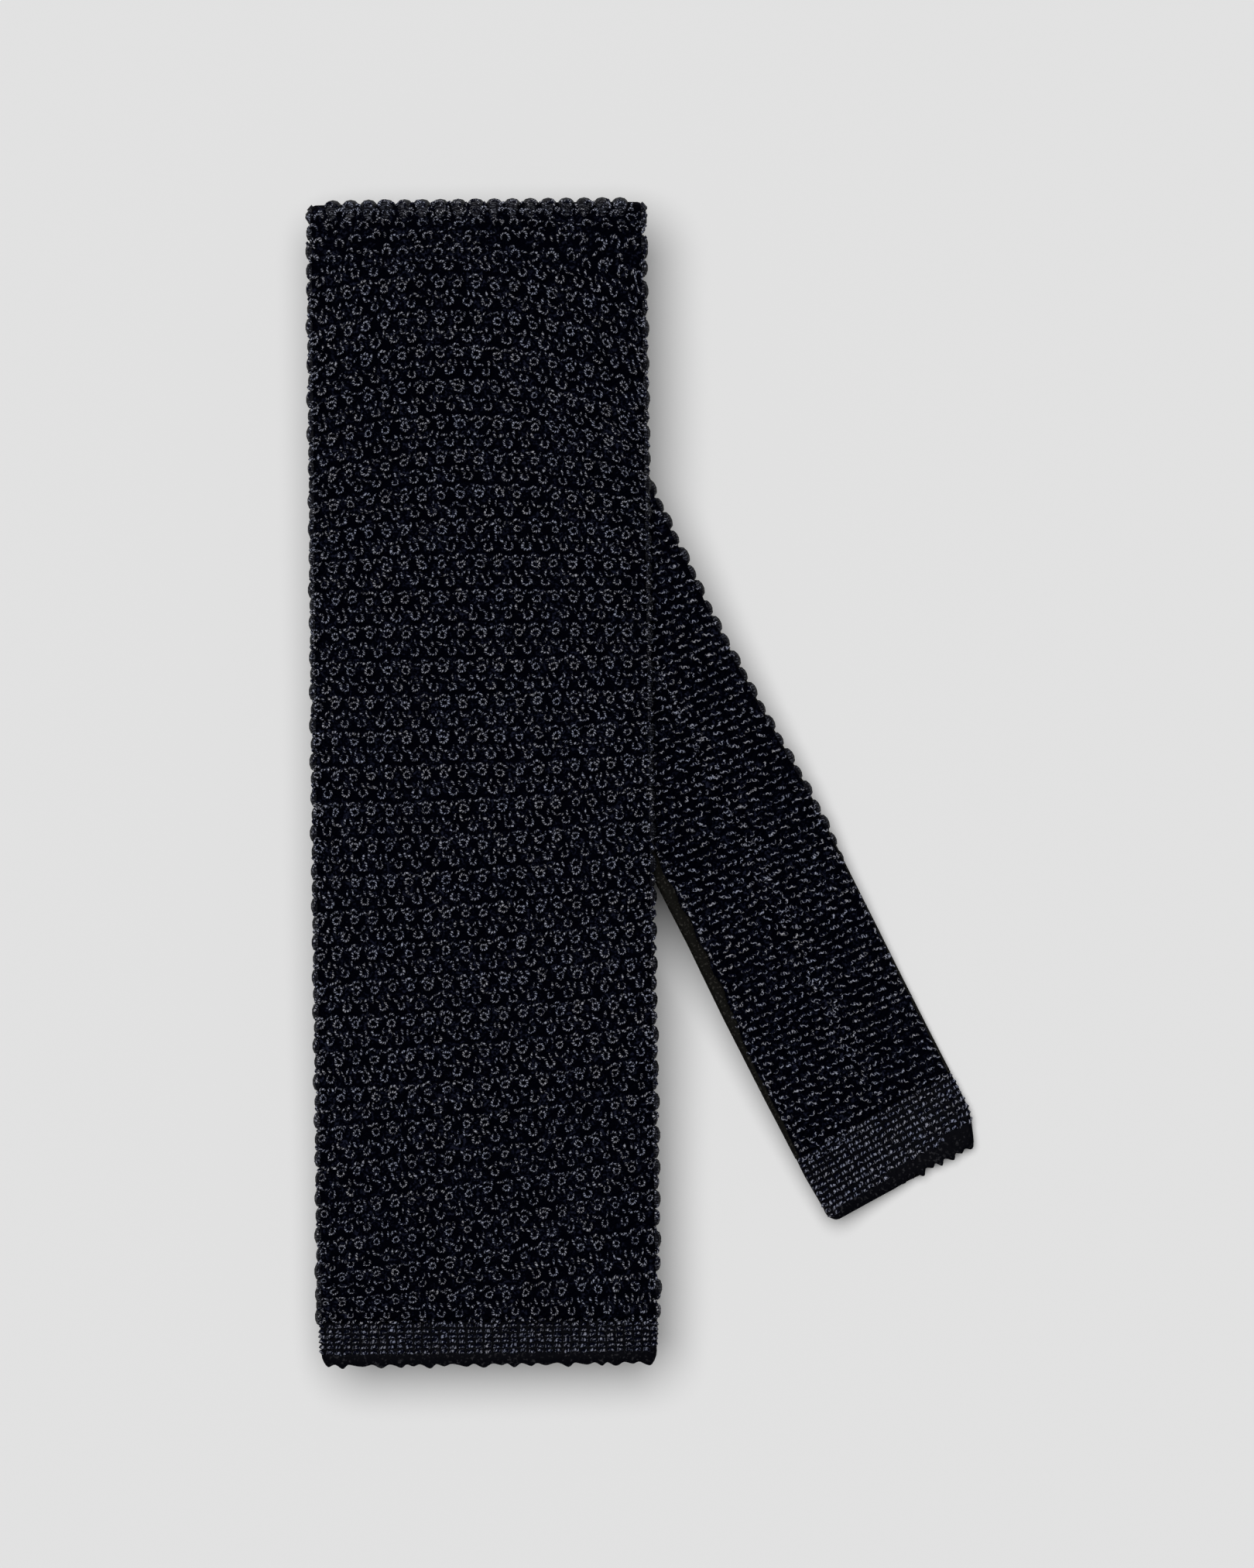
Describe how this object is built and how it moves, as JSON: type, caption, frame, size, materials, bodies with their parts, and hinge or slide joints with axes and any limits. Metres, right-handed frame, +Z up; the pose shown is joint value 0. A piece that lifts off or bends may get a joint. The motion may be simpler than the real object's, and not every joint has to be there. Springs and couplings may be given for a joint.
{
  "type": "knit necktie",
  "caption": "Square-ended knitted silk necktie folded flat, wide blade on top and slim tail slanting out from under it to the surface.",
  "frame": {"origin": "middle of the folded tie's outline, on the surface it lies on", "axes": "+Y along the blade from its hem to the top fold, +X across the blade towards the tail, +Z up"},
  "size_m": [0.1164, 0.2062, 0.0205],
  "materials": {
    "silk_knit": "textured silk knit with a dry sheen",
    "silk_hem": "plain fine silk knit"
  },
  "bodies": {
    "root": {"knit_tube": "silk_knit", "blade_hem": "silk_hem", "tail_hem": "silk_hem"}
  },
  "joints": []
}
